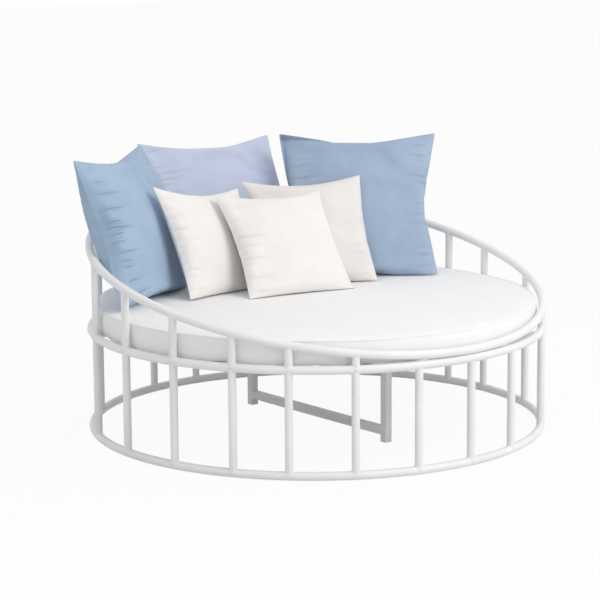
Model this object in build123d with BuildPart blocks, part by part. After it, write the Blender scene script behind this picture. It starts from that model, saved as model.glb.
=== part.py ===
from build123d import *
import os
from math import cos, degrees, atan, radians, sin, sqrt

# Round outdoor daybed: a drum of white tube round a loose seat pad and six loose cushions.
# Millimetres. The origin is on the drum's axis at the floor, +Z is up, and -Y is the low front.

# Hoops
ring_radius = 884
ring_tube = 32
tube_wall = 2
seat_ring_height = 403
# Rise of the top rail from front to back, as a share of the drum's radius.
rail_rise_share = 0.431

# Posts between the hoops
post_tube = 30
shortest_post = 15
# Bearings of the posts in degrees, anticlockwise from the low front; they open out at the sides.
post_bearings = (
    0, 15.5, 41, 67, 88, 101, 116, 131, 146, 161.5,
    176.5, 191.5, 221, 248.5, 267.5, 284.5, 300.5, 314, 329.5, 345,
)

# Frame under the seat
leg_width = 30
leg_wall = 2
leg_inset = 469
cap_thickness = 4
cap_plug_depth = 18
cap_clearance = 0.3
stretcher_clearance = 27
beam_width = 30
beam_depth = 30
slat_width = 40
slat_depth = 20
slat_wall = 1.5
slat_inset = 144
slat_count = 9

# Seat pad
pad_inset = 20
pad_thickness = 102
pad_edge_height = 92
pad_side_bulge = 12
pad_shoulder_width = 174
cover_cloth = 2
seat_clearance = 0.3

# Cushions, with their sides and thicknesses as shares of the pad's radius
large_side_share = 0.7176
large_thickness_share = 0.1968
small_side_share = 0.5382
small_thickness_share = 0.1505
seam_allowance = 6
cushion_sink = 10
drawn_in_share = 0.045
crown_power = 1.5
# Stations of the sections along a side, from the middle of the diagonal to the ear's tip.
station_shares = (-1, -0.6, -0.1, 0.4, 0.8, 0.97)
# Name, place of the lower edge across and towards the back in shares of the pad's radius,
# then the way it faces, its lean back and its roll in degrees.
large_place_shares = (
    ("large_cushion_left", -0.6075, 0.4021, 30.8, 19.3, -2.4),
    ("large_cushion_middle", 0.0607, 0.66, -9.0, 28.1, 0.1),
    ("large_cushion_right", 0.476, 0.233, -38.7, 23.1, 0.9),
)
small_place_shares = (
    ("small_cushion_left", -0.296, 0.279, 13.0, 26.2, -5.7),
    ("small_cushion_right", 0.185, 0.199, -28.1, 27.6, 3.2),
    ("small_cushion_front", -0.045, 0.049, -9.8, 35.7, -0.3),
)

ring_tube_radius = ring_tube / 2
ring_bore_radius = ring_tube_radius - tube_wall
floor_ring_height = ring_tube_radius
rail_rise = rail_rise_share * ring_radius
rail_low = seat_ring_height + ring_tube
rail_high = rail_low + rail_rise
rail_middle = (rail_low + rail_high) / 2
rail_slope = rail_rise / 2 / ring_radius
rail_tilt = degrees(atan(rail_slope))
slat_bottom = seat_ring_height - slat_depth / 2
slat_top = seat_ring_height + slat_depth / 2
beam_bottom = slat_bottom - beam_depth
slat_reach = ring_radius - post_tube / 2 - seat_clearance
outer_slat_place = ring_radius - slat_inset
slat_pitch = 2 * outer_slat_place / (slat_count - 1)
beam_half_length = outer_slat_place + slat_width / 2
leg_spacing = 2 * (ring_radius - leg_inset)
stretcher_height = stretcher_clearance + leg_width / 2
stretcher_half_length = (leg_spacing - leg_width) / 2
pad_radius = ring_radius - pad_inset
pad_flat_radius = pad_radius - pad_shoulder_width
pad_bottom = slat_top + seat_clearance
pad_top = pad_bottom + pad_thickness
cushion_floor = pad_top + seat_clearance

os.makedirs("parts", exist_ok=True)


def save(part, name):
    part.label = name
    export_step(part, f"parts/{name}.step")


def rail_height(bearing):
    """Height of the rail's centreline over a post."""
    return rail_middle - rail_rise / 2 * cos(radians(bearing))


def post_place(bearing):
    """Point of the drum's wall at a bearing from the low front."""
    return (ring_radius * sin(radians(bearing)), -ring_radius * cos(radians(bearing)))


# Top rail's plane: it cuts the drum's wall aslant, so every post under it stands upright
rail_plane = Plane(
    origin=(0, 0, rail_middle),
    x_dir=(1, 0, 0),
    z_dir=(0, -sin(radians(rail_tilt)), cos(radians(rail_tilt))),
)


def level_hoop(height, bore_radius):
    """Level hoop round the drum's axis, solid where the bore is zero."""
    with BuildPart() as hoop:
        with BuildSketch(Plane.XZ):
            with Locations((ring_radius, height)):
                Circle(ring_tube_radius)
                if bore_radius:
                    Circle(bore_radius, mode=Mode.SUBTRACT)
        revolve(axis=Axis.Z)
    return hoop.part


def sloping_hoop(bore_radius):
    """Hoop that follows the drum's wall along the rail's plane, solid where the bore is zero."""
    long_radius = ring_radius / cos(radians(rail_tilt))
    with BuildPart() as hoop:
        with BuildLine(rail_plane):
            line = EllipticalCenterArc((0, 0), ring_radius, long_radius, 0, arc_size=360)
        with BuildSketch(Plane(origin=line @ 0, z_dir=line % 0)):
            Circle(ring_tube_radius)
            if bore_radius:
                Circle(bore_radius, mode=Mode.SUBTRACT)
        sweep()
    return hoop.part


save(level_hoop(floor_ring_height, ring_bore_radius), "floor_ring")
save(level_hoop(seat_ring_height, ring_bore_radius), "seat_ring")
save(sloping_hoop(ring_bore_radius), "top_rail")

# Solid hoops, to cope the posts and slats against
floor_ring_room = level_hoop(floor_ring_height, 0)
seat_ring_room = level_hoop(seat_ring_height, 0)
top_rail_room = sloping_hoop(0)

# Posts, each coped to the hoops at both its ends
for number, bearing in enumerate(post_bearings, start=1):
    with BuildPart() as lower_post:
        with BuildSketch(Plane.XY.offset(floor_ring_height)):
            with Locations(post_place(bearing)):
                Circle(post_tube / 2)
                Circle(post_tube / 2 - tube_wall, mode=Mode.SUBTRACT)
        extrude(amount=seat_ring_height - floor_ring_height)
        add(floor_ring_room, mode=Mode.SUBTRACT)
        add(seat_ring_room, mode=Mode.SUBTRACT)
    save(lower_post.part, f"lower_post_{number:02d}")
    clear_height = rail_height(bearing) - seat_ring_height - ring_tube
    if clear_height < shortest_post:
        continue
    with BuildPart() as upper_post:
        with BuildSketch(Plane.XY.offset(seat_ring_height)):
            with Locations(post_place(bearing)):
                Circle(post_tube / 2)
                Circle(post_tube / 2 - tube_wall, mode=Mode.SUBTRACT)
        extrude(amount=rail_height(bearing) - seat_ring_height)
        add(seat_ring_room, mode=Mode.SUBTRACT)
        add(top_rail_room, mode=Mode.SUBTRACT)
    save(upper_post.part, f"upper_post_{number:02d}")

# Two legs of square tube, joined near the floor by a stretcher
for side, way in (("front", -1), ("rear", 1)):
    with BuildPart() as leg:
        with BuildSketch(Plane.XY.offset(cap_thickness)):
            with Locations((0, way * leg_spacing / 2)):
                Rectangle(leg_width, leg_width)
                Rectangle(leg_width - 2 * leg_wall, leg_width - 2 * leg_wall, mode=Mode.SUBTRACT)
        extrude(amount=beam_bottom - cap_thickness)
    save(leg.part, f"{side}_leg")

with BuildPart() as leg_caps:
    plug_width = leg_width - 2 * leg_wall - 2 * cap_clearance
    with BuildSketch():
        with GridLocations(0, leg_spacing, 1, 2):
            Rectangle(leg_width, leg_width)
    extrude(amount=cap_thickness)
    with BuildSketch(Plane.XY.offset(cap_thickness)):
        with GridLocations(0, leg_spacing, 1, 2):
            Rectangle(plug_width, plug_width)
    extrude(amount=cap_plug_depth)
save(leg_caps.part, "leg_caps")

with BuildPart() as stretcher:
    with BuildSketch(Plane.XZ):
        with Locations((0, stretcher_height)):
            Rectangle(leg_width, leg_width)
            Rectangle(leg_width - 2 * leg_wall, leg_width - 2 * leg_wall, mode=Mode.SUBTRACT)
    extrude(amount=stretcher_half_length, both=True)
save(stretcher.part, "stretcher")

with BuildPart() as deck_beam:
    with BuildSketch(Plane.XZ):
        with Locations((0, beam_bottom + beam_depth / 2)):
            Rectangle(beam_width, beam_depth)
            Rectangle(beam_width - 2 * leg_wall, beam_depth - 2 * leg_wall, mode=Mode.SUBTRACT)
    extrude(amount=beam_half_length, both=True)
save(deck_beam.part, "deck_beam")

# Deck slats of flat tube, coped to the seat ring
with BuildPart() as deck_slats:
    with BuildSketch(Plane.YZ.offset(-ring_radius)):
        with Locations((0, seat_ring_height)):
            with GridLocations(slat_pitch, 0, slat_count, 1):
                Rectangle(slat_width, slat_depth)
                Rectangle(
                    slat_width - 2 * slat_wall, slat_depth - 2 * slat_wall, mode=Mode.SUBTRACT
                )
    extrude(amount=2 * ring_radius)
    with BuildSketch(Plane.XY.offset(slat_bottom)):
        Circle(slat_reach)
    extrude(amount=slat_depth, mode=Mode.INTERSECT)
    add(seat_ring_room, mode=Mode.SUBTRACT)
save(deck_slats.part, "deck_slats")


def pad_section(inset):
    """Half section of the round pad, inset from its outside."""
    edge = pad_radius - pad_side_bulge - inset
    bottom = pad_bottom + inset
    shoulder = pad_bottom + pad_edge_height - inset
    top = pad_top - inset
    with BuildSketch(Plane.XZ) as section:
        with BuildLine():
            Line((0, bottom), (edge, bottom))
            ThreePointArc(
                (edge, bottom), (pad_radius - inset, (bottom + shoulder) / 2), (edge, shoulder)
            )
            TangentArc((pad_flat_radius, top), (edge, shoulder), tangent=(1, 0))
            Polyline((pad_flat_radius, top), (0, top), (0, bottom))
        make_face()
    return section.sketch


pad_outside = pad_section(0)
pad_inside = pad_section(cover_cloth)
pad_filling = pad_section(cover_cloth + seat_clearance)

with BuildPart() as seat_pad_cover:
    revolve(pad_outside, Axis.Z)
    revolve(pad_inside, Axis.Z, mode=Mode.SUBTRACT)
save(seat_pad_cover.part, "seat_pad_cover")

with BuildPart() as seat_pad_foam:
    revolve(pad_filling, Axis.Z)
save(seat_pad_foam.part, "seat_pad_foam")


def cushion_plane(across_share, back_share, facing, lean, roll, side):
    """Middle plane of a cushion that stands on the pad and leans back."""
    foot = Location((across_share * pad_radius, back_share * pad_radius, pad_top - cushion_sink))
    upright = Rot(Z=facing) * Rot(X=90 - lean) * Rot(Z=roll)
    return Plane(foot * upright * Pos(Y=side / 2))


def cushion_form(middle, side, thickness, floor):
    """Crowned square with drawn-in sides, lofted from its diagonal to one ear and mirrored."""
    diagonal = Plane(middle.location * Rot(Z=45))
    across_diagonal = Plane(diagonal.origin, x_dir=diagonal.y_dir, z_dir=diagonal.x_dir)
    half_diagonal = side / sqrt(2)
    with BuildPart() as form:
        for share in station_shares:
            dip = drawn_in_share * (1 - share**2)
            reach_share = (1 + share) / 2 - dip
            half_width = half_diagonal * ((1 - share) / 2 - dip)
            half_crown = thickness / 2 * (1 - reach_share**2) ** crown_power
            with BuildSketch(across_diagonal.offset(half_diagonal * reach_share)):
                with BuildLine():
                    ThreePointArc((-half_width, 0), (0, half_crown), (half_width, 0))
                    ThreePointArc((half_width, 0), (0, -half_crown), (-half_width, 0))
                make_face()
        loft()
        mirror(about=across_diagonal)
        split(bisect_by=Plane.XY.offset(floor), keep=Keep.TOP)
    return form.part


for side_share, thickness_share, places in (
    (large_side_share, large_thickness_share, large_place_shares),
    (small_side_share, small_thickness_share, small_place_shares),
):
    side = side_share * pad_radius
    thickness = thickness_share * pad_radius
    inner_side = side - 2 * seam_allowance
    inner_thickness = thickness - 2 * cover_cloth
    for name, across_share, back_share, facing, lean, roll in places:
        middle = cushion_plane(across_share, back_share, facing, lean, roll, side)
        with BuildPart() as cushion_cover:
            add(cushion_form(middle, side, thickness, cushion_floor))
            add(
                cushion_form(middle, inner_side, inner_thickness, cushion_floor + cover_cloth),
                mode=Mode.SUBTRACT,
            )
        save(cushion_cover.part, f"{name}_cover")
        with BuildPart() as cushion_filling:
            add(
                cushion_form(
                    middle,
                    inner_side - 2 * seat_clearance,
                    inner_thickness - 2 * seat_clearance,
                    cushion_floor + cover_cloth + seat_clearance,
                )
            )
        save(cushion_filling.part, f"{name}_filling")
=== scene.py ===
import math
import random

import bmesh
import bpy
from mathutils import Matrix, Vector, noise


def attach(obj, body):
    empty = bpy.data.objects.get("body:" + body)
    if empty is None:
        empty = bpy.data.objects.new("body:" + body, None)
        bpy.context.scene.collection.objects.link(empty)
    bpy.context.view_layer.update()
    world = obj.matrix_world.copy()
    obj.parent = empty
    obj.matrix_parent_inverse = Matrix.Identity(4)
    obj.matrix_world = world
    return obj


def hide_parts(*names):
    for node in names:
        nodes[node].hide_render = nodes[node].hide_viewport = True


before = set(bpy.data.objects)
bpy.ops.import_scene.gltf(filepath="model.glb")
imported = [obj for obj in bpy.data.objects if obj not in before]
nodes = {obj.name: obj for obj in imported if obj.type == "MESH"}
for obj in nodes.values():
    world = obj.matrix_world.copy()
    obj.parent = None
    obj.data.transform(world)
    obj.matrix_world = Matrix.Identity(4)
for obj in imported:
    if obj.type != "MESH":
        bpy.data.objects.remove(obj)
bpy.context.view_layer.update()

# Round outdoor daybed. Metres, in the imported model's frame: the origin is on the drum's axis at
# the floor, +Z is up and -Y is the low front.

# Frame
ring_radius = 0.884
ring_tube = 0.032
post_tube = 0.030
floor_ring_height = 0.016
seat_ring_height = 0.403
rail_low = 0.435
rail_rise = 0.381
post_bearings = (
    0, 15.5, 41, 67, 88, 101, 116, 131, 146, 161.5,
    176.5, 191.5, 221, 248.5, 267.5, 284.5, 300.5, 314, 329.5, 345,
)
weld_radius = 0.0026

# Seat pad
pad_radius = 0.864
pad_bottom = 0.4133
pad_top = 0.5153
pad_side_bulge = 0.012
slat_pitch = 0.185
slat_width = 0.040
sag_depth = 0.009
sag_radius = 0.7
roll_depth = 0.005
roll_radius = 0.3
ripple_share = 0.0022

# Cushions
cushion_foot = 0.5053
large_side = 0.620
large_thickness = 0.170
small_side = 0.465
small_thickness = 0.130


# Finishes

def start_material(name, roughness):
    """Empty principled material, with its nodes, links and shader."""
    material = bpy.data.materials.new(name)
    material.use_nodes = True
    tree = material.node_tree
    shader = tree.nodes["Principled BSDF"]
    shader.inputs["Roughness"].default_value = roughness
    return material, tree, shader


def mottle(tree, shader, coordinates, scale, dark, light):
    """Slow colour variation between two tones, from noise."""
    cloud = tree.nodes.new("ShaderNodeTexNoise")
    cloud.inputs["Scale"].default_value = scale
    cloud.inputs["Detail"].default_value = 4
    ramp = tree.nodes.new("ShaderNodeValToRGB")
    ramp.color_ramp.elements[0].position = 0.3
    ramp.color_ramp.elements[0].color = (*dark, 1)
    ramp.color_ramp.elements[1].position = 0.7
    ramp.color_ramp.elements[1].color = (*light, 1)
    tree.links.new(coordinates, cloud.inputs["Vector"])
    tree.links.new(cloud.outputs["Fac"], ramp.inputs["Fac"])
    tree.links.new(ramp.outputs["Color"], shader.inputs["Base Color"])


def grain(tree, shader, height, strength, distance, under=None):
    """Surface relief from a height output, laid over an earlier relief if there is one."""
    bump = tree.nodes.new("ShaderNodeBump")
    bump.inputs["Strength"].default_value = strength
    bump.inputs["Distance"].default_value = distance
    tree.links.new(height, bump.inputs["Height"])
    if under:
        tree.links.new(under.outputs["Normal"], bump.inputs["Normal"])
    tree.links.new(bump.outputs["Normal"], shader.inputs["Normal"])
    return bump


def powder_coat(name, dark, light, roughness):
    """Matt baked coating with the faint pebbling of sprayed powder."""
    material, tree, shader = start_material(name, roughness)
    shader.inputs["Specular IOR Level"].default_value = 0.4
    place = tree.nodes.new("ShaderNodeTexCoord").outputs["Object"]
    mottle(tree, shader, place, 6, dark, light)
    pebble = tree.nodes.new("ShaderNodeTexNoise")
    pebble.inputs["Scale"].default_value = 700
    pebble.inputs["Detail"].default_value = 2
    tree.links.new(place, pebble.inputs["Vector"])
    grain(tree, shader, pebble.outputs["Fac"], 0.12, 0.0004)
    return material


def canvas(name, dark, light, thread):
    """Plain woven cloth: warp and weft from the piece's own UV map, in metres, with slubs.

    The pucker attribute holds the height of fine creases, in metres.
    """
    material, tree, shader = start_material(name, 0.92)
    shader.inputs["Specular IOR Level"].default_value = 0.25
    shader.inputs["Sheen Weight"].default_value = 0.12
    shader.inputs["Sheen Roughness"].default_value = 0.6
    place = tree.nodes.new("ShaderNodeTexCoord")
    mottle(tree, shader, place.outputs["Object"], 9, dark, light)
    cloth = tree.nodes.new("ShaderNodeUVMap")
    cloth.uv_map = "cloth"
    threads = []
    for direction in ("X", "Y"):
        wave = tree.nodes.new("ShaderNodeTexWave")
        wave.bands_direction = direction
        wave.inputs["Scale"].default_value = 1 / (20 * thread)
        wave.inputs["Distortion"].default_value = 1.2
        wave.inputs["Detail"].default_value = 1
        tree.links.new(cloth.outputs["UV"], wave.inputs["Vector"])
        threads.append(wave.outputs["Fac"])
    over = tree.nodes.new("ShaderNodeMath")
    over.operation = "MAXIMUM"
    tree.links.new(threads[0], over.inputs[0])
    tree.links.new(threads[1], over.inputs[1])
    pucker = tree.nodes.new("ShaderNodeAttribute")
    pucker.attribute_name = "pucker"
    folds = grain(tree, shader, pucker.outputs["Fac"], 1, 1)
    grain(tree, shader, over.outputs[0], 0.35, thread / 3, folds)
    return material


white_paint = powder_coat("white_powder_coat", (0.80, 0.80, 0.785), (0.86, 0.86, 0.85), 0.42)
cap_plastic = powder_coat("off_white_cap_plastic", (0.70, 0.70, 0.68), (0.76, 0.76, 0.74), 0.55)
pad_canvas = canvas("white_pad_canvas", (0.865, 0.863, 0.86), (0.89, 0.888, 0.885), 0.0011)
blue_canvas = canvas("mid_blue_canvas", (0.32, 0.415, 0.55), (0.37, 0.462, 0.595), 0.0010)
sky_canvas = canvas("soft_blue_canvas", (0.325, 0.44, 0.585), (0.375, 0.49, 0.635), 0.0010)
lavender_canvas = canvas(
    "lavender_blue_canvas", (0.52, 0.565, 0.715), (0.57, 0.615, 0.765), 0.0010,
)
cream_canvas = canvas("off_white_canvas", (0.83, 0.795, 0.77), (0.87, 0.84, 0.815), 0.0009)
grey_cream_canvas = canvas("grey_white_canvas", (0.76, 0.73, 0.715), (0.80, 0.77, 0.755), 0.0009)


# Making pieces

def finish_piece(name, shape, material, body):
    """Writes a bmesh into a smooth-shaded piece that rides on a body."""
    mesh = bpy.data.meshes.new(name)
    shape.to_mesh(mesh)
    shape.free()
    for face in mesh.polygons:
        face.use_smooth = True
    mesh.materials.append(material)
    piece = bpy.data.objects.new(name, mesh)
    bpy.context.scene.collection.objects.link(piece)
    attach(piece, body)
    return piece


def subdivide_live(piece, levels):
    """Subdivision surface, the same in view and render."""
    smooth = piece.modifiers.new("smooth", "SUBSURF")
    smooth.levels = levels
    smooth.render_levels = levels


# Metal frame: the CAD tubes with their coating, and a weld bead at each post's ends

for name, node in nodes.items():
    if "cushion" in name or "seat_pad" in name:
        continue
    node.data.materials.clear()
    node.data.materials.append(cap_plastic if name == "leg_caps" else white_paint)


def rail_height(bearing):
    """Height of the top rail's centreline over a bearing."""
    return rail_low + rail_rise / 2 * (1 - math.cos(math.radians(bearing)))


def add_bead(shape, bearing, joint_height, side):
    """Weld bead round a post where it meets a hoop: a thin ring, draped over the hoop's tube."""
    bead = bmesh.new()
    bmesh.ops.create_circle(bead, segments=8, radius=weld_radius)
    bmesh.ops.rotate(
        bead, verts=bead.verts, cent=(0, 0, 0), matrix=Matrix.Rotation(math.pi / 2, 3, "X"),
    )
    bmesh.ops.translate(bead, verts=bead.verts, vec=(post_tube / 2, 0, 0))
    bmesh.ops.spin(
        bead, geom=bead.verts[:] + bead.edges[:], cent=(0, 0, 0), axis=(0, 0, 1),
        angle=2 * math.pi, steps=28, use_merge=True,
    )
    bmesh.ops.recalc_face_normals(bead, faces=bead.faces)
    for vertex in bead.verts:
        # Local X points out of the drum, Y along the hoop.
        reach = min(abs(vertex.co.x), ring_tube / 2 - 0.0002)
        drape = math.sqrt((ring_tube / 2) ** 2 - reach**2)
        along = bearing + math.degrees(vertex.co.y / ring_radius)
        vertex.co.z += joint_height(along) + side * drape
    bmesh.ops.translate(bead, verts=bead.verts, vec=(ring_radius, 0, 0))
    bmesh.ops.rotate(
        bead, verts=bead.verts, cent=(0, 0, 0),
        matrix=Matrix.Rotation(math.radians(bearing - 90), 3, "Z"),
    )
    loose = bpy.data.meshes.new("bead")
    bead.to_mesh(loose)
    bead.free()
    shape.from_mesh(loose)
    bpy.data.meshes.remove(loose)


def build_welds():
    """Beads at the posts' ends, one piece for each hoop."""
    hoops = (
        ("floor_ring_welds", lambda bearing: floor_ring_height, (1,)),
        ("seat_ring_welds", lambda bearing: seat_ring_height, (-1, 1)),
        ("top_rail_welds", rail_height, (-1,)),
    )
    for name, joint_height, sides in hoops:
        shape = bmesh.new()
        for number, bearing in enumerate(post_bearings, start=1):
            upper = f"upper_post_{number:02d}" in nodes
            for side in sides:
                above_seat = name == "top_rail_welds" or (name == "seat_ring_welds" and side > 0)
                if upper or not above_seat:
                    add_bead(shape, bearing, joint_height, side)
        finish_piece(name, shape, white_paint, "frame")


# Seat pad

def build_pad():
    """Boxed round pad: flat top and bottom panels, a band between them and piped edges."""
    edge = pad_radius - pad_side_bulge
    half = (pad_top - pad_bottom) / 2
    middle = (pad_top + pad_bottom) / 2
    profile = [(0, -half), (0.5, -half), (edge - 0.08, -half), (edge - 0.03, -half)]
    profile += [(edge - 0.004, -half + 0.0005), (edge + 0.006, -half + 0.006)]
    profile += [(edge + 0.010, -half + 0.024), (edge + 0.0115, -0.004)]
    profile += [(edge + 0.010, half - 0.026), (edge + 0.0055, half - 0.013)]
    profile += [(edge + 0.0085, half - 0.0105), (edge + 0.0075, half - 0.0075)]
    profile += [(edge + 0.0035, half - 0.0075)]
    profile += [(edge - 0.010, half - 0.003), (edge - 0.05, half - 0.001)]
    profile += [(edge - 0.16, half), (0.45, half), (0.2, half), (0, half)]
    shape = bmesh.new()
    corners = [shape.verts.new((reach, 0, middle + height)) for reach, height in profile]
    for first, second in zip(corners, corners[1:]):
        shape.edges.new((first, second))
    bmesh.ops.spin(
        shape, geom=shape.verts[:] + shape.edges[:], cent=(0, 0, 0), axis=(0, 0, 1),
        angle=2 * math.pi, steps=160, use_merge=True,
    )
    bmesh.ops.remove_doubles(shape, verts=shape.verts, dist=0.0001)
    bmesh.ops.recalc_face_normals(shape, faces=shape.faces)
    cloth = shape.loops.layers.uv.new("cloth")
    for face in shape.faces:
        for loop in face.loops:
            place = loop.vert.co
            loop[cloth].uv = (place.x, place.y + place.z)
    for vertex in shape.verts:
        place = vertex.co
        reach = math.hypot(place.x, place.y)
        if place.z < pad_bottom + 0.01 and reach > sag_radius:
            # Under its edge the pad sags between the slats.
            off_slat = abs((place.x / slat_pitch + 0.5) % 1 - 0.5) * slat_pitch - slat_width / 2
            place.z -= (
                sag_depth * min(1, max(0, off_slat / 0.03)) * min(1, (reach - sag_radius) / 0.1)
            )
        if place.z > middle and reach > roll_radius:
            # The top panel rolls off unevenly towards its edge, as loose cloth over foam.
            roll = (reach - roll_radius) / (pad_radius - roll_radius)
            swell = noise.noise(Vector((place.x, place.y, 0)) * 3.1) * 0.5 - 0.5
            place.z += roll_depth * roll**3 * swell
        if reach > 0.8 and abs(place.z - middle) < half * 0.8:
            angle = math.atan2(place.y, place.x)
            ripple = noise.noise(Vector((math.cos(angle), math.sin(angle), 0)) * 9)
            stretch = 1 + ripple_share * ripple
            place.x *= stretch
            place.y *= stretch
    pad = finish_piece("round_seat_pad", shape, pad_canvas, "seat_pad")
    subdivide_live(pad, 1)
    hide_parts("seat_pad_cover", "seat_pad_foam")


# Cushions: name, side, thickness, place of the lower edge's middle, then the way it faces, its
# lean back and its roll in degrees, and its cloth and slot
cushions = (
    ("large_cushion_left", large_side, large_thickness, (-0.5249, 0.3474), 30.8, 19.3, -2.4,
     sky_canvas, "blue_fabric"),
    ("large_cushion_middle", large_side, large_thickness, (0.0524, 0.5702), -9.0, 28.1, 0.1,
     lavender_canvas, "lavender_fabric"),
    ("large_cushion_right", large_side, large_thickness, (0.4113, 0.2013), -38.7, 23.1, 0.9,
     blue_canvas, "blue_fabric"),
    ("small_cushion_left", small_side, small_thickness, (-0.2557, 0.2411), 13.0, 26.2, -5.7,
     cream_canvas, "cream_fabric"),
    ("small_cushion_right", small_side, small_thickness, (0.1598, 0.1719), -28.1, 27.6, 3.2,
     grey_cream_canvas, "cream_fabric"),
    ("small_cushion_front", small_side, small_thickness, (-0.0389, 0.0423), -9.8, 35.7, -0.3,
     cream_canvas, "cream_fabric"),
)
# Ears' tips of each cushion in shares of half its side: top left, top right, bottom right and
# bottom left; then how far the top, right, bottom and left sides are drawn in between them
outline_shares = {
    "large_cushion_left": (
        (-1.0, 0.92), (0.95, 0.99), (1.01, -0.99), (-1.03, -0.95), (0.16, 0.08, 0.05, 0.13)),
    "large_cushion_middle": (
        (-1.0, 0.99), (0.98, 0.99), (1.0, -0.99), (-1.0, -0.99), (0.18, 0.1, 0.06, 0.09)),
    "large_cushion_right": (
        (-1.05, 1.03), (1.03, 0.98), (1.0, -0.98), (-1.0, -0.98), (0.15, 0.16, 0.04, 0.11)),
    "small_cushion_left": (
        (-1.0, 1.0), (1.08, 0.94), (1.0, -1.0), (-0.91, -1.0), (0.15, 0.08, 0.06, 0.11)),
    "small_cushion_right": (
        (-1.1, 1.04), (1.02, 0.97), (1.03, -0.99), (-0.94, -0.99), (0.14, 0.07, 0.05, 0.16)),
    "small_cushion_front": (
        (-1.03, 1.03), (0.98, 0.98), (1.03, -1.0), (-0.98, -0.98), (0.12, 0.07, 0.06, 0.1)),
}
# Filling: the flat panels' size, their crown and cells before it, and the volume they reach
flat_cut_share = 1.012
start_thickness = 0.008
crown_share = 0.18
cell = 0.0096
volume_share = 0.54
simulated_frames = 30
soften_rounds = 15
# Creases: lengths, spans and limits in shares of the side, of half the side or of the crown
crease_width = 0.007
crease_span_shares = (-0.84, 0.86)
crease_length_shares = (0.14, 0.36)
right_length_share = 0.5
crease_depth_draw = (0.3, 1)
crease_slants = (-0.2, 0.3)
crease_steps = (0.022, 0.062)
crease_row = 0.02
crease_reach = 0.05
crease_inset_share = 0.95
crease_end = 1.4
crease_limit_share = 0.25
front_lead = 0.03
back_lead = 0.07
back_depth_share = 0.25
relief_share = 0.35
pucker_share = 0.28
# Depth of the creases at the left and the right seam
crease_depths = {
    "large_cushion_left": (0.017, 0.006),
    "large_cushion_middle": (0.006, 0.003),
    "large_cushion_right": (0.010, 0.010),
    "small_cushion_left": (0.012, 0.004),
    "small_cushion_right": (0.005, 0.005),
    "small_cushion_front": (0.013, 0.003),
}
# Ear that bends, and how far back it bends as a share of half the side
bend_shares = {
    "large_cushion_left": (-1, -1, -0.08),
    "large_cushion_right": (-1, 1, 0.17),
    "small_cushion_right": (1, 1, -0.04),
}
seam_lip = 0.003
seam_edge = 0.4
seam_pinch = 0.75
rest_clearance = 0.0006
rest_give = 0.012
# How much leaner the front and the back panel get towards the rim, where cushions stand close
slim_shares = {
    "large_cushion_left": (0.06, 0),
    "large_cushion_middle": (0, 0),
    "large_cushion_right": (0.2, 0),
    "small_cushion_left": (0.12, 0.22),
    "small_cushion_right": (0.1, 0.36),
    "small_cushion_front": (0, 0.24),
}


def flat_cushion(side, cuts):
    """Two square panels joined all round by a narrow strip, lightly crowned."""
    shape = bmesh.new()
    bmesh.ops.create_cube(shape, size=1)
    bmesh.ops.scale(shape, vec=(side, side, start_thickness), verts=shape.verts)
    level = [
        edge for edge in shape.edges
        if abs(edge.verts[0].co.z - edge.verts[1].co.z) < start_thickness / 2
    ]
    bmesh.ops.subdivide_edges(shape, edges=level, cuts=cuts, use_grid_fill=True)
    cloth = shape.loops.layers.uv.new("cloth")
    for face in shape.faces:
        for loop in face.loops:
            loop[cloth].uv = (loop.vert.co.x, loop.vert.co.y)
    seam = shape.verts.layers.float.new("seam")
    for vertex in shape.verts:
        across, up = vertex.co.x * 2 / side, vertex.co.y * 2 / side
        vertex[seam] = float(max(abs(across), abs(up)) > 0.9999)
        fullness = math.sqrt(max(0, 1 - across**2) * max(0, 1 - up**2))
        vertex.co.z += math.copysign(side * crown_share / 2 * fullness, vertex.co.z)
    return shape


def fill(shape, side, thickness):
    """Fills a flat cushion by cloth simulation up to its volume, and smooths the result."""
    mesh = bpy.data.meshes.new("filling_cushion")
    shape.to_mesh(mesh)
    shape.free()
    cushion = bpy.data.objects.new("filling_cushion", mesh)
    scene = bpy.context.scene
    scene.collection.objects.link(cushion)
    modifier = cushion.modifiers.new("cloth", "CLOTH")
    cloth = modifier.settings
    cloth.quality = 5
    cloth.mass = 0.3
    cloth.tension_stiffness = 20
    cloth.compression_stiffness = 20
    cloth.shear_stiffness = 7
    cloth.bending_stiffness = 0.8
    cloth.use_pressure = True
    cloth.uniform_pressure_force = 0
    cloth.use_pressure_volume = True
    cloth.target_volume = side * side * thickness * volume_share
    cloth.pressure_factor = 40
    cloth.effector_weights.gravity = 0
    modifier.point_cache.frame_start = 1
    modifier.point_cache.frame_end = simulated_frames
    for number in range(1, simulated_frames + 1):
        scene.frame_set(number)
    subdivide_live(cushion, 1)
    filled = cushion.evaluated_get(bpy.context.evaluated_depsgraph_get())
    result = bmesh.new()
    result.from_mesh(filled.data)
    bpy.data.objects.remove(cushion)
    scene.frame_set(1)
    return result


def fit_size(shape, side, thickness):
    """Centres a cushion and scales it to its ear-to-ear side and its thickness."""
    lows = [min(vertex.co[axis] for vertex in shape.verts) for axis in range(3)]
    highs = [max(vertex.co[axis] for vertex in shape.verts) for axis in range(3)]
    spans = [high - low for low, high in zip(lows, highs)]
    centre = [(low + high) / 2 for low, high in zip(lows, highs)]
    bmesh.ops.translate(shape, verts=shape.verts, vec=[-middle for middle in centre])
    factors = (side / spans[0], side / spans[1], thickness / spans[2])
    bmesh.ops.scale(shape, vec=factors, verts=shape.verts)


def soften(shape):
    """Eases the hard ridges that the filling leaves on the panels."""
    seam = shape.verts.layers.float["seam"]
    panels = [vertex for vertex in shape.verts if vertex[seam] < 0.2]
    for _ in range(soften_rounds):
        bmesh.ops.smooth_vert(
            shape, verts=panels, factor=0.5, use_axis_x=True, use_axis_y=True, use_axis_z=True,
        )


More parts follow.
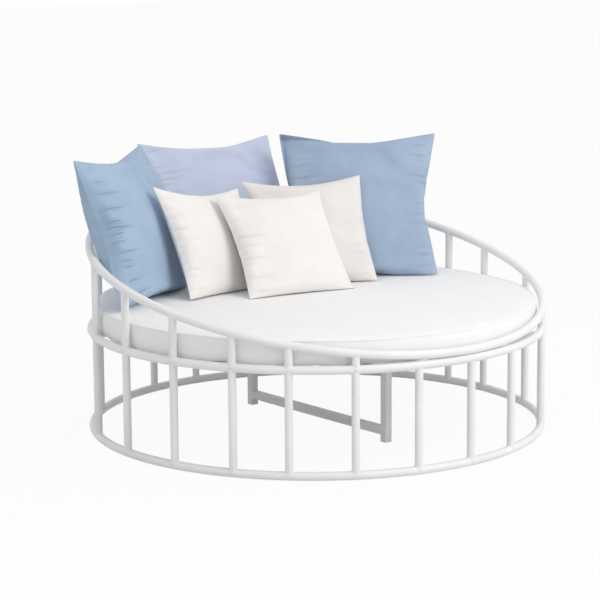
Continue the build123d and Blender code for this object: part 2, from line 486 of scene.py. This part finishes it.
def slim(shape, side, front, back):
    """Makes the panels leaner towards the rim and keeps their middle as it is."""
    for vertex in shape.verts:
        a, b = min(1, abs(vertex.co.x * 2 / side)), min(1, abs(vertex.co.y * 2 / side))
        rim = 1 - (1 - a**2) * (1 - b**2)
        vertex.co.z *= 1 - (front if vertex.co.z > 0 else back) * rim


def side_middle(shape, axis, way, side):
    """How far a seam's middle lies drawn in already, as a share of half the side."""
    seam = shape.verts.layers.float["seam"]
    reach = max(
        v.co[axis] * way for v in shape.verts if v[seam] > 0.9 and abs(v.co[1 - axis]) < side / 16
    )
    return 1 - reach * 2 / side


def shape_outline(shape, side, name):
    """Moves the ears' tips to their places and draws the sides in between them."""
    *ears, draws = outline_shares[name]
    half = side / 2
    seams = ((1, 1), (0, 1), (1, -1), (0, -1))
    have = [side_middle(shape, axis, way, side) for axis, way in seams]
    top, right, bottom, left = [want - share for want, share in zip(draws, have)]
    corners = ((-1, 1), (1, 1), (1, -1), (-1, -1))
    for vertex in shape.verts:
        a, b = vertex.co.x / half, vertex.co.y / half
        move_a = move_b = 0
        for (ear_a, ear_b), (corner_a, corner_b) in zip(ears, corners):
            weight = (1 + a * corner_a) * (1 + b * corner_b) / 4
            move_a += weight * (ear_a - corner_a)
            move_b += weight * (ear_b - corner_b)
        span_a, span_b = 1 - min(1, abs(a)) ** 2, 1 - min(1, abs(b)) ** 2
        move_a += span_b * (left * ((1 - a) / 2) ** 2 - right * ((1 + a) / 2) ** 2)
        move_b += span_a * (bottom * ((1 - b) / 2) ** 2 - top * ((1 + b) / 2) ** 2)
        vertex.co.x += move_a * half
        vertex.co.y += move_b * half
        if name in bend_shares:
            corner_a, corner_b, back = bend_shares[name]
            lean = max(0, (1 + a * corner_a) / 2) ** 3 * max(0, (1 + b * corner_b) / 2) ** 1.5
            vertex.co.z -= back * half * lean


def sew(shape, side):
    """Pinches the strip between the panels to a thin seam that stands out a little."""
    seam = shape.verts.layers.float["seam"]
    for vertex in shape.verts:
        if vertex[seam] > seam_edge:
            pinch = min(1, (vertex[seam] - seam_edge) / 0.5)
            vertex.co.z *= 1 - seam_pinch * pinch
            reach = 1 + 2 * seam_lip / side * pinch
            vertex.co.x *= reach
            vertex.co.y *= reach


def crease(shape, side, depths, seed):
    """Short pull creases that run in from the left and right seams.

    The mesh takes one share of their height, and the pucker attribute another.
    """
    pucker = shape.verts.layers.float.new("pucker")
    draw = random.Random(seed)
    half = side / 2
    lines = []
    for face in (-1, 1):
        for edge in (-1, 1):
            level = crease_span_shares[0] * half
            while level < crease_span_shares[1] * half:
                length = side * draw.uniform(*crease_length_shares)
                length *= 1 if edge < 0 else right_length_share
                depth = depths[0 if edge < 0 else 1] * draw.uniform(*crease_depth_draw)
                lines.append((face, edge, level, length, depth, draw.uniform(*crease_slants)))
                level += draw.uniform(*crease_steps)
    rows = {}
    for line in lines:
        face, _, level = line[:3]
        first_row = int((level - crease_reach) // crease_row)
        last_row = int((level + crease_reach) // crease_row)
        for row in range(first_row, last_row + 1):
            rows.setdefault((face, row), []).append(line)
    for vertex in shape.verts:
        place = vertex.co.copy()
        way = 1 if place.z > 0 else -1
        near = rows.get((way, int(place.y // crease_row)), ())
        for _, edge, level, length, depth, slant in near:
            inward = (half * crease_inset_share - edge * place.x) / length
            if inward > crease_end:
                continue
            off = (place.y - level - slant * max(inward, 0) * length * 0.5) / crease_width
            fade = math.exp(-max(0, inward - 0.25) ** 2 * 4)
            lead = front_lead if way > 0 else back_lead
            fade *= min(1, max(0, inward * length / lead)) * (1 if way > 0 else back_depth_share)
            ridge = math.exp(-off * off) - 0.9 * math.exp(-((off + 1.7) ** 2))
            height = min(depth, crease_limit_share * abs(place.z)) * fade * ridge
            vertex.co.z += way * height * relief_share
            vertex[pucker] += height * pucker_share


def cushion_turn(facing, lean, roll):
    """Turn that stands a cushion up, leans it back and faces it."""
    return (
        Matrix.Rotation(math.radians(facing), 4, "Z")
        @ Matrix.Rotation(math.radians(90 - lean), 4, "X")
        @ Matrix.Rotation(math.radians(roll), 4, "Z")
    )


def settle(shape):
    """Flattens a cushion where it rests on the pad."""
    lowest = pad_top + rest_clearance
    for vertex in shape.verts:
        height = vertex.co.z - lowest
        if height < rest_give:
            vertex.co.z = lowest + rest_give * math.exp(height / rest_give - 1)


def build_cushion(name, side, thickness, foot, facing, lean, roll, material, slot, seed):
    """One loose cushion: filled, sewn, creased at its seams, stood on the pad and leant back."""
    cut = side * flat_cut_share
    shape = fill(flat_cushion(cut, round(side / cell)), cut, thickness)
    fit_size(shape, side, thickness)
    soften(shape)
    slim(shape, side, *slim_shares[name])
    shape_outline(shape, side, name)
    sew(shape, side)
    crease(shape, side, crease_depths[name], seed)
    place = (
        Matrix.Translation((*foot, cushion_foot))
        @ cushion_turn(facing, lean, roll)
        @ Matrix.Translation((0, side / 2, 0))
    )
    bmesh.ops.transform(shape, matrix=place, verts=shape.verts)
    settle(shape)
    piece = finish_piece(name, shape, material, name)
    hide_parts(f"{name}_cover", f"{name}_filling")


# Camera, light and floor

sky_strength = 0.77
key_size = 3.4
key_power = 150
floor_glow_share = 0.93


def place_camera():
    """Camera of the photograph: low, from the front left."""
    camera = bpy.data.cameras.new("camera")
    camera.lens = 129.87
    camera.sensor_width = 36
    holder = bpy.data.objects.new("camera", camera)
    holder.location = (-5.326, -6.4626, 2.0446)
    holder.rotation_euler = (math.radians(79.506), math.radians(0.372), math.radians(-39.12))
    bpy.context.scene.collection.objects.link(holder)
    bpy.context.scene.camera = holder


def add_softbox(name, place, target, size, power, colour):
    """Square area lamp aimed at a point."""
    lamp = bpy.data.lights.new(name, "AREA")
    lamp.size = size
    lamp.energy = power
    lamp.color = colour
    holder = bpy.data.objects.new(name, lamp)
    holder.location = place
    holder.rotation_mode = "QUATERNION"
    holder.rotation_quaternion = (Vector(target) - Vector(place)).to_track_quat("-Z", "Y")
    bpy.context.scene.collection.objects.link(holder)


def seen_rays(tree):
    """Output that is 1 for camera, mirror and glass rays."""
    rays = tree.nodes.new("ShaderNodeLightPath")
    total = rays.outputs["Is Camera Ray"]
    for other in ("Is Glossy Ray", "Is Transmission Ray"):
        either = tree.nodes.new("ShaderNodeMath")
        either.operation = "MAXIMUM"
        tree.links.new(total, either.inputs[0])
        tree.links.new(rays.outputs[other], either.inputs[1])
        total = either.outputs[0]
    return total


def light_studio():
    """White backdrop, even sky light and one large softbox at the right of the camera."""
    world = bpy.data.worlds.new("studio")
    bpy.context.scene.world = world
    world.use_nodes = True
    tree = world.node_tree
    sky = tree.nodes["Background"]
    sky.inputs["Color"].default_value = (0.98, 0.99, 1, 1)
    sky.inputs["Strength"].default_value = sky_strength
    backdrop = tree.nodes.new("ShaderNodeBackground")
    backdrop.inputs["Color"].default_value = (1, 1, 1, 1)
    backdrop.inputs["Strength"].default_value = 1
    mix = tree.nodes.new("ShaderNodeMixShader")
    tree.links.new(seen_rays(tree), mix.inputs["Fac"])
    tree.links.new(sky.outputs[0], mix.inputs[1])
    tree.links.new(backdrop.outputs[0], mix.inputs[2])
    tree.links.new(mix.outputs[0], tree.nodes["World Output"].inputs["Surface"])
    add_softbox(
        "key_softbox", (1.1, -4.7, 4.4), (0, 0, 0.4), key_size, key_power, (1, 0.985, 0.965),
    )


def lay_floor():
    """White floor that keeps the object's shadow."""
    shape = bmesh.new()
    bmesh.ops.create_grid(shape, x_segments=1, y_segments=1, size=30)
    mesh = bpy.data.meshes.new("floor")
    shape.to_mesh(mesh)
    shape.free()
    floor = bpy.data.objects.new("floor", mesh)
    floor.location.z = -0.0005
    bpy.context.scene.collection.objects.link(floor)
    material = bpy.data.materials.new("studio_floor")
    material.use_nodes = True
    tree = material.node_tree
    surface = tree.nodes["Principled BSDF"]
    surface.inputs["Base Color"].default_value = (0.8, 0.8, 0.8, 1)
    surface.inputs["Roughness"].default_value = 1
    surface.inputs["Specular IOR Level"].default_value = 0
    glow = tree.nodes.new("ShaderNodeEmission")
    glow.inputs["Color"].default_value = (1, 1, 1, 1)
    share = tree.nodes.new("ShaderNodeMath")
    share.operation = "MULTIPLY"
    share.inputs[1].default_value = floor_glow_share
    tree.links.new(seen_rays(tree), share.inputs[0])
    mix = tree.nodes.new("ShaderNodeMixShader")
    tree.links.new(share.outputs[0], mix.inputs["Fac"])
    tree.links.new(surface.outputs[0], mix.inputs[1])
    tree.links.new(glow.outputs[0], mix.inputs[2])
    tree.links.new(mix.outputs[0], tree.nodes["Material Output"].inputs["Surface"])
    mesh.materials.append(material)


place_camera()
light_studio()
lay_floor()
build_welds()
build_pad()
for seed, cushion in enumerate(cushions, start=1):
    build_cushion(*cushion, seed)
bpy.context.scene.view_settings.view_transform = "Standard"
